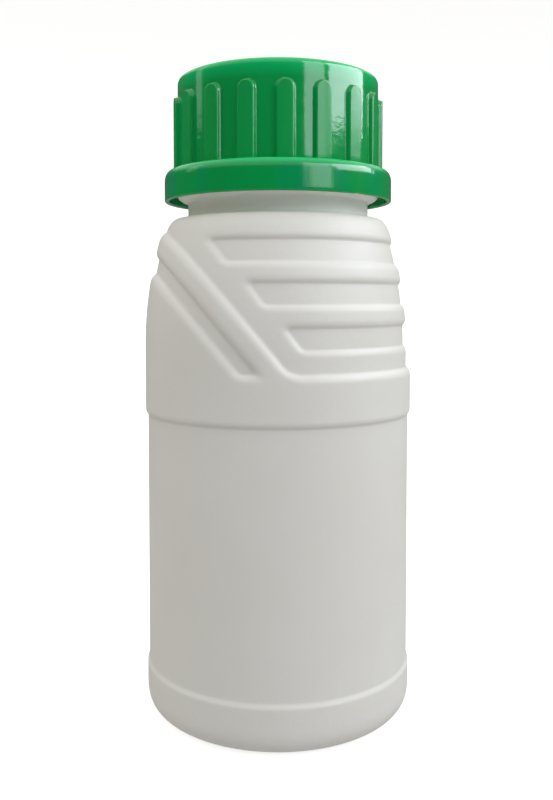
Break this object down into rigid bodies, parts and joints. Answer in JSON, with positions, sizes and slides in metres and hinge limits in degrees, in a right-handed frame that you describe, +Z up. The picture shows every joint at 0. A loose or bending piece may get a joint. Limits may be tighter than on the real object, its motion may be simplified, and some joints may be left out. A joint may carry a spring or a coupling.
{
  "type": "plastic bottle with screw cap",
  "caption": "Round white blow-moulded plastic bottle with a raised grip pattern on its upper body, a green ribbed screw cap and a green tamper band round the neck.",
  "frame": {"origin": "on the bottle's axis, in the plane of the ring it stands on", "axes": "+Z up along the axis; -Y is the front, the side with the slanted ribs towards the viewer; +X is to the viewer's right"},
  "size_m": [0.0734, 0.0734, 0.1724],
  "materials": {
    "bottle_white": "satin white polyethylene with a fine orange-peel texture",
    "cap_green": "glossy green polypropylene",
    "band_green": "glossy green polypropylene with faint vertical streaks",
    "disc_white": "matt white foamed liner"
  },
  "bodies": {
    "bottle": {"bottle": "bottle_white", "tamper_band": "band_green"},
    "sealing_disc": {"sealing_disc": "disc_white"},
    "cap": {"cap": "cap_green"}
  },
  "joints": [
    {"name": "cap_lift", "type": "slide", "parent": "bottle", "child": "sealing_disc", "axis": [0, 0, 1], "range_m": [0, 0.0091]},
    {"name": "cap_turn", "type": "hinge", "parent": "sealing_disc", "child": "cap", "pos_m": [0, 0, 0.16], "axis": [0, 0, 1], "range_deg": [0, 720]}
  ],
  "couplings": [
    {"joint": "cap_lift", "follows": "cap_turn", "m_per_rad": 0.0007162}
  ]
}
